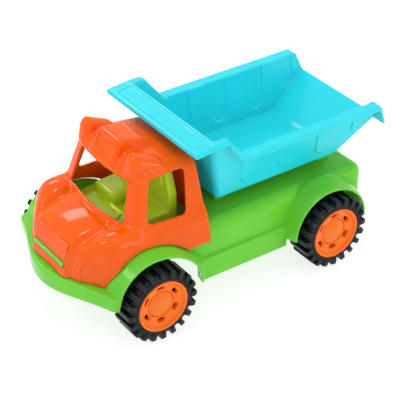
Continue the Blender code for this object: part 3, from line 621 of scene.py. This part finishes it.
def bed_shape(x, y, z):
    """The open hopper with its rim, canopy lip, tail flange and hinge lugs."""
    ax = np.abs(x)
    hopper, side = bed_hopper(ax, y, z)
    shell = rmax(hopper, -(hopper + BED_WALL), 0.6)
    steep = np.where((y > 88.5) & (y < 107.0), 0.61, 1.0)
    depth = (bed_top(y) - z) * steep
    rear = (y - 275.8 + 0.364 * (z - 122.5)) * 0.94
    shell = rmax(rmax(shell, -depth, 0.8), rear, 0.8)
    rim = rmax(rmax(slab(depth, 0.0, 5.0), slab(ax, 40.0, 73.4), 1.8), -(side + 2.0), 0.6)
    rim = rmax(rim, -np.maximum(np.maximum(2.0 - depth, ax - 71.3), -side), 0.5)
    rim = rmax(rmax(rim, rear, 1.0), 72.0 - y, 0.5)
    lip_top = np.minimum(166.3 + 0.094 * (y - 50.6), 168.5)
    inlay = rmax(ax - 63.0, slab(y, 56.0, 72.5), 2.0)
    lip_depth = lip_top - 0.8 * step(-inlay, -0.4, 0.4) - z
    lip = rmax(rmax(slab(lip_depth, 0.0, 5.0), ax - 74.4, 2.0), slab(y, 50.6, 89.0), 2.2)
    under_lip = np.maximum(np.maximum(2.2 - lip_depth, ax - 72.2), np.maximum(53.0 - y, -hopper))
    lip = rmax(lip, -under_lip, 0.5)
    lip = rmax(lip, -(hopper + BED_WALL), 0.5)
    lip = rmax(lip, -depth, 0.6)
    flange = rmax(rmax(slab(rear, -3.0, 0.0), ax - (71.8 + 0.075 * (z - 124.0)), 1.0), slab(z, 123.2, 143.0), 1.0)
    flange = rmax(flange, -(side + 2.0), 0.6)
    solid = rmin(rmin(rmin(shell, rim, 1.2), lip, 1.2), flange, 1.2)
    knuckle = from_pin(y, z)
    flank = np.abs(y - HINGE_Y) - KNUCKLE_R
    lug = np.minimum(knuckle - KNUCKLE_R, np.maximum(flank, slab(z, HINGE_Z, 94.0)))
    lug = rmax(rmax(lug, slab(ax, 24.0, 29.6), 0.7), PIN_HOLE_R - knuckle, 0.3)
    return rmin(solid, lug, 1.0)


# ---------------------------------------------------------------- wheels, about their own centre, outer face at +X

LUG_PITCH = math.radians(18.0)


def tyre_shape(x, y, z):
    """Carcass with square lugs and a bead, and a thin black ring behind the hub's slots, which is painted shade
    that makes the slots look dark.
    """
    w = x - 82.0
    r = np.sqrt(y * y + z * z)
    turn = np.arctan2(z, y) / LUG_PITCH
    s = (turn - np.round(turn)) * LUG_PITCH * np.maximum(r, 10.0)
    carcass = rmax(r - 32.9, np.abs(w) - 12.7, 4.0)
    lug_side = np.abs(w) - 14.0 + 0.25 * np.maximum(r - 34.0, 0.0)
    lug = rmax(rmax(r - AXLE_Z, np.abs(s) - 3.2 + 0.05 * np.abs(w), 0.7), lug_side, 0.8)
    lug = rmax(lug, 29.6 - r, 0.8)
    tyre = rmin(carcass, lug, 0.9)
    bead = np.sqrt((r - 27.6) ** 2 + (np.abs(w) - 12.9) ** 2) - 1.0
    tyre = rmax(rmin(tyre, bead, 0.6), 26.2 - r, 0.5)
    # The thin black ring is painted shade: a dark sheet set behind the hub's slots so that they read as dark holes.
    return np.minimum(tyre, rmax(slab(x, 83.3, 85.0), slab(r, 15.2, 26.8), 0.3))


# X and radius round the hub's section, from the rim's outer lip inwards and back along the barrel.
HUB_OUTLINE = (
    (95.4, 25.4), (95.4, 24.6), (92.4, 22.2), (90.6, 14.3), (86.4, 13.9), (86.4, 2.8), (67.0, 2.8),
    (67.0, 4.6), (84.6, 5.2), (86.4, 15.2), (88.0, 21.9), (85.6, 23.9), (69.6, 23.9), (69.6, 25.4),
)


def hub_shape(x, y, z):
    """Rim, dish and barrel in one turned section, with six slots in shallow pockets."""
    r = np.sqrt(y * y + z * z)
    hub = polygon(x, r, HUB_OUTLINE) - 0.6
    sixth = math.pi / 3
    turn = np.arctan2(z, y) - math.pi / 6
    near = turn - sixth * np.round(turn / sixth)
    radial, tangent = r * np.cos(near) - 17.6, r * np.sin(near)
    slot = rmax(rmax(np.abs(tangent) - 3.6, np.abs(radial) - 1.8, 1.5), 85.5 - x, 0.2)
    pocket = rmax(np.abs(tangent) - 5.0, np.abs(radial + 0.4) - 2.6, 2.4)
    hub = hub + 1.0 * step(-pocket, -1.2, 1.2) * (x > 88.0)
    return rmax(hub, -slot, 0.4)


def cap_shape(x, y, z):
    """A shallow dome with a thin wall."""
    r = np.sqrt(y * y + z * z)
    dome = rmax(rmax(r - 13.6, x - (92.8 - 0.010 * r * r), 1.6), 86.4 - x, 0.4)
    return rmax(dome, -rmax(r - 10.8, x - 91.2, 1.0), 0.4)


# ---------------------------------------------------------------- build

chassis_mesh = surface("chassis_body", chassis_shape, (0, -74, 22), (92, 260, 94), 1.2)
chassis = piece("chassis_body", chassis_mesh, green, "chassis")
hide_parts("chassis")

cab_mesh = surface("cab_body", cab_shape, (0, -67, 53), (78, 71, 170), 0.95)
cab = piece("cab_body", cab_mesh, orange, "chassis")
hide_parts("cab_shell")

inside_mesh = surface("cab_seats", interior_shape, (-54, -28, 80), (54, 53, 135), 1.1, mirror=False)
seats = piece("cab_seats", inside_mesh, seat_lime_and_painted_bounce, "chassis")
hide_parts("cab_interior")

bed_mesh = surface("bed_body", bed_shape, (0, 49, 80), (76, 278, 170), 1.1)
bed = piece("bed_body", bed_mesh, cyan, "bed")
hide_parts("bed")


def grille_mesh():
    """The ribbed panel that lies in the recess of the nose."""
    across, ribs, samples = 26.8, 22, 10
    count = ribs * samples + 1
    low, high = 70.9, 86.4
    proud, depth = 0.35, 0.55
    rows = []
    for z, sunk in ((low, 2.2), (low, 0.5), (low + 0.6, 0.0), (high - 0.6, 0.0), (high, 0.5), (high, 2.2)):
        base = -64.3 + 0.241 * (z - 55.0)
        row = []
        for i in range(count):
            u = i / (count - 1)
            ridge = depth * (abs(math.cos(math.pi * ribs * u)) - 1.0)
            end = 1.5 if i in (0, count - 1) else 0.0
            row.append((across * (2 * u - 1), base - proud - ridge * (sunk < 0.3) + max(sunk, end), z))
        rows.append(row)
    verts = [(x * MM, (y - SHIFT_Y) * MM, z * MM) for row in rows for x, y, z in row]
    faces = []
    for j in range(len(rows) - 1):
        for i in range(count - 1):
            a = j * count + i
            faces.append((a, a + 1, a + count + 1, a + count))
    mesh = bpy.data.meshes.new("grille_ribs")
    mesh.from_pydata(verts, [], faces)
    mesh.polygons.foreach_set("use_smooth", np.ones(len(faces), bool))
    mesh.update()
    return mesh


grille = piece("grille_ribs", grille_mesh(), orange, "chassis")

CENTRED = (0.0, 0.0, 0.0)
tyre_mesh = surface("tyre", tyre_shape, (67, -38, -38), (97, 38, 38), 0.85, mirror=False, shift=CENTRED)
hub_mesh = surface("hub", hub_shape, (66, -27, -27), (97, 27, 27), 0.65, mirror=False, shift=CENTRED)
cap_mesh = surface("hub_cap", cap_shape, (86, -14, -14), (95, 14, 14), 0.6, mirror=False, shift=CENTRED)
for end, axle_y in (("front", 0.0), ("rear", WHEELBASE)):
    for hand in ("left", "right"):
        where = f"{end}_{hand}"
        place = Matrix.Translation((0.0, (axle_y - SHIFT_Y) * MM, AXLE_Z * MM))
        if hand == "right":
            place = place @ Matrix.Rotation(math.pi, 4, "Z")
        parts = (("tyre", tyre_mesh, black, "tyre_black"), ("hub", hub_mesh, hub_orange, "hub_orange"))
        parts += (("hub_cap", cap_mesh, hub_orange, "hub_orange"),)
        for kind, mesh, material, slot in parts:
            thing = piece(f"{where}_{kind}_look", mesh, material, f"{where}_wheel", place)
            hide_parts(f"{where}_{kind}")

for name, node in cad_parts.items():
    if any(word in name for word in ("screw", "pin", "axle", "nut", "washer")):
        node.data.materials.clear()
        node.data.materials.append(steel)


# ---------------------------------------------------------------- stage, light and camera

def pale_floor():
    """A plain pale floor that glows a little, so that it stays near white."""
    mesh = bpy.data.meshes.new("floor")
    mesh.from_pydata([(-4, -4, 0), (4, -4, 0), (4, 4, 0), (-4, 4, 0)], [], [(0, 1, 2, 3)])
    floor = bpy.data.objects.new("floor", mesh)
    bpy.context.scene.collection.objects.link(floor)
    paper = bpy.data.materials.new("floor_paper")
    paper.use_nodes = True
    shader = paper.node_tree.nodes["Principled BSDF"]
    shader.inputs["Base Color"].default_value = (0.32, 0.32, 0.32, 1.0)
    shader.inputs["Roughness"].default_value = 0.9
    shader.inputs["Specular IOR Level"].default_value = 0.1
    shader.inputs["Emission Color"].default_value = (1.0, 1.0, 1.0, 1.0)
    shader.inputs["Emission Strength"].default_value = 0.8
    mesh.materials.append(paper)


def soft_light(name, place, aim, size, power):
    """An area light at place that faces aim."""
    data = bpy.data.lights.new(name, "AREA")
    data.shape = "RECTANGLE"
    data.size, data.size_y = size
    data.energy = power
    lamp = bpy.data.objects.new(name, data)
    bpy.context.scene.collection.objects.link(lamp)
    lamp.location = place
    lamp.rotation_euler = (Vector(aim) - Vector(place)).to_track_quat("-Z", "Y").to_euler()


pale_floor()
world = bpy.data.worlds.new("studio")
world.use_nodes = True
world.node_tree.nodes["Background"].inputs["Color"].default_value = (1.0, 1.0, 1.0, 1.0)
world.node_tree.nodes["Background"].inputs["Strength"].default_value = 0.8
bpy.context.scene.world = world
soft_light("key", (-0.5, -1.15, 1.3), (0.0, -0.1, 0.08), (0.3, 0.45), 3.2)
soft_light("overhead", (-0.15, -0.15, 2.0), (0.0, 0.0, 0.08), (0.45, 0.35), 6.5)
soft_light("far", (-1.35, 0.25, 1.4), (0.0, 0.0, 0.08), (0.6, 0.4), 4.5)
soft_light("side", (1.7, 0.4, 0.7), (0.0, 0.0, 0.05), (0.6, 0.5), 2.4)
soft_light("low", (1.3, 1.3, 0.35), (0.0, 0.0, 0.08), (0.5, 0.3), 2.4)

AZIMUTH, ELEVATION = math.radians(54.902), math.radians(33.533)
LEVEL = math.cos(ELEVATION)
DISTANCE = 1.3898
LENS, SENSOR = 130.9, 36.0
AIM_RIGHT, AIM_UP = 0.0874, 0.0834  # from the front axle's middle, across and up the picture
back_axis = Vector((math.sin(AZIMUTH) * LEVEL, -math.cos(AZIMUTH) * LEVEL, math.sin(ELEVATION)))
right_axis = Vector((math.cos(AZIMUTH), math.sin(AZIMUTH), 0.0))
up_axis = back_axis.cross(right_axis)
target = right_axis * AIM_RIGHT + up_axis * AIM_UP + Vector((0.0, -SHIFT_Y * MM, 0.0))
camera_data = bpy.data.cameras.new("camera")
camera_data.lens = LENS
camera_data.sensor_width = SENSOR
camera = bpy.data.objects.new("camera", camera_data)
bpy.context.scene.collection.objects.link(camera)
turn = Matrix((right_axis, up_axis, back_axis)).transposed().to_4x4()
camera.matrix_world = Matrix.Translation(target + back_axis * DISTANCE) @ turn
bpy.context.scene.camera = camera
bpy.context.scene.view_settings.view_transform = "Standard"
